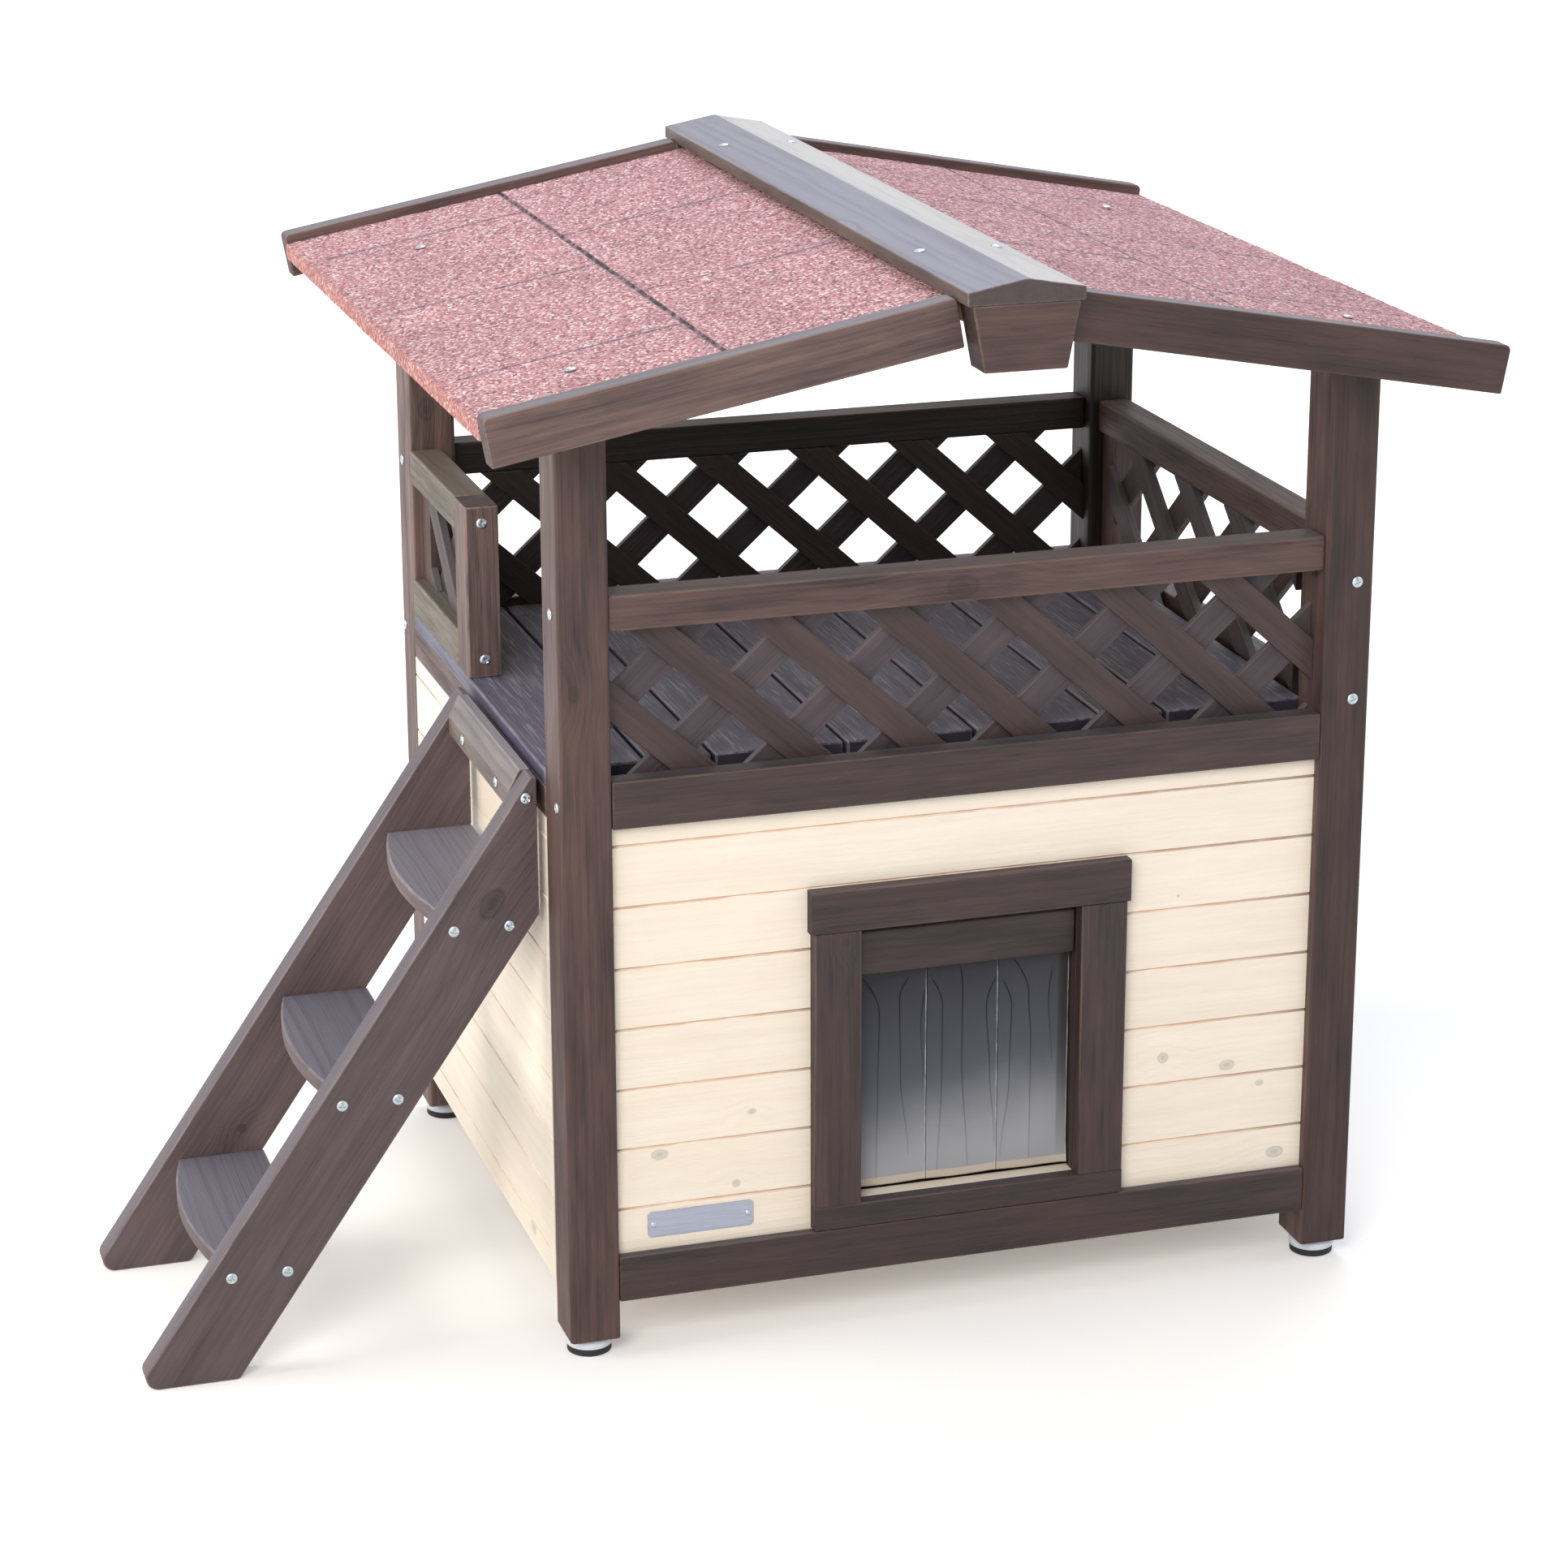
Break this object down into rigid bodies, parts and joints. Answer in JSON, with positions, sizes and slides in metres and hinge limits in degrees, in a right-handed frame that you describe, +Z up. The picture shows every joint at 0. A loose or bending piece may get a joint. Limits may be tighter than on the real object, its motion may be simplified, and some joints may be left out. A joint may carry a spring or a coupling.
{
  "type": "outdoor cat house",
  "caption": "Raised wooden outdoor cat house with a strip-curtain door, a lattice-railed terrace under a felted gable roof, and side stairs up to the terrace.",
  "frame": {"origin": "on the ground, under the middle of the whole object's box", "axes": "+X along the width, away from the stairs; +Y from the door side to the back; +Z up"},
  "size_m": [0.9434, 0.719, 0.7664],
  "materials": {
    "stained_wood": "brown-grey stain on softwood, matt",
    "cream_wood": "cream paint on softwood boards, matt",
    "raw_board": "unpainted panel, matt",
    "deck_wood": "grey-blue stain, streaky, matt",
    "weathered_wood": "grey stain, streaky, satin",
    "roof_felt": "bitumen felt with red mineral grit, rough",
    "clear_pvc": "clear soft PVC, glossy, embossed",
    "plate_metal": "brushed, blank",
    "zinc_steel": "zinc-plated",
    "white_plastic": "moulded, glossy",
    "black_rubber": "matt"
  },
  "bodies": {
    "house": {"post_front_left": "stained_wood", "post_front_right": "stained_wood", "post_back_left": "stained_wood", "post_back_right": "stained_wood", "foot_glides": "white_plastic", "foot_soles": "black_rubber", "base_rail_front": "stained_wood", "base_rail_back": "stained_wood", "floor_bearers": "cream_wood", "floor_panel": "raw_board", "wall_front": "cream_wood", "wall_back": "cream_wood", "wall_left": "cream_wood", "wall_right": "cream_wood", "deck_rail_front": "stained_wood", "deck_rail_back": "stained_wood", "deck_rail_left": "stained_wood", "deck_rail_right": "stained_wood", "deck_beams": "stained_wood", "deck_boards": "deck_wood", "handrail_front": "stained_wood", "handrail_back": "stained_wood", "handrail_right": "stained_wood", "handrail_left": "stained_wood", "lattice_front": "stained_wood", "lattice_back": "stained_wood", "lattice_right": "stained_wood", "lattice_left": "stained_wood", "lattice_battens": "stained_wood", "lattice_rail_left": "stained_wood", "newel": "stained_wood", "door_lintel": "stained_wood", "door_jamb_left": "stained_wood", "door_jamb_right": "stained_wood", "door_sill_board": "stained_wood", "curtain_bar": "stained_wood", "curtain_cleat": "stained_wood", "strip_heads": "clear_pvc", "name_plate": "plate_metal", "plate_pins": "zinc_steel", "stair_stringer_front": "stained_wood", "stair_stringer_back": "stained_wood", "stair_tread_lower": "stained_wood", "stair_tread_middle": "stained_wood", "stair_tread_upper": "stained_wood", "stair_top_board": "weathered_wood", "rafters": "stained_wood", "roof_panel_left": "raw_board", "roof_panel_right": "raw_board", "felt_left": "roof_felt", "felt_right": "roof_felt", "barge_boards_front": "stained_wood", "barge_boards_back": "stained_wood", "ridge_cap": "weathered_wood", "ridge_blocks": "stained_wood", "stair_screws": "zinc_steel", "frame_screws": "zinc_steel"},
    "left_flap": {"strip_left": "clear_pvc"},
    "middle_flap": {"strip_middle": "clear_pvc"},
    "right_flap": {"strip_right": "clear_pvc"}
  },
  "joints": [
    {"name": "left_strip_swing", "type": "hinge", "parent": "house", "child": "left_flap", "pos_m": [0.0595, -0.25295, 0.2605], "axis": [1, 0, 0], "range_deg": [-75, 75]},
    {"name": "middle_strip_swing", "type": "hinge", "parent": "house", "child": "middle_flap", "pos_m": [0.11303, -0.25295, 0.2605], "axis": [1, 0, 0], "range_deg": [-75, 75]},
    {"name": "right_strip_swing", "type": "hinge", "parent": "house", "child": "right_flap", "pos_m": [0.16656, -0.25295, 0.2605], "axis": [1, 0, 0], "range_deg": [-75, 75]}
  ]
}
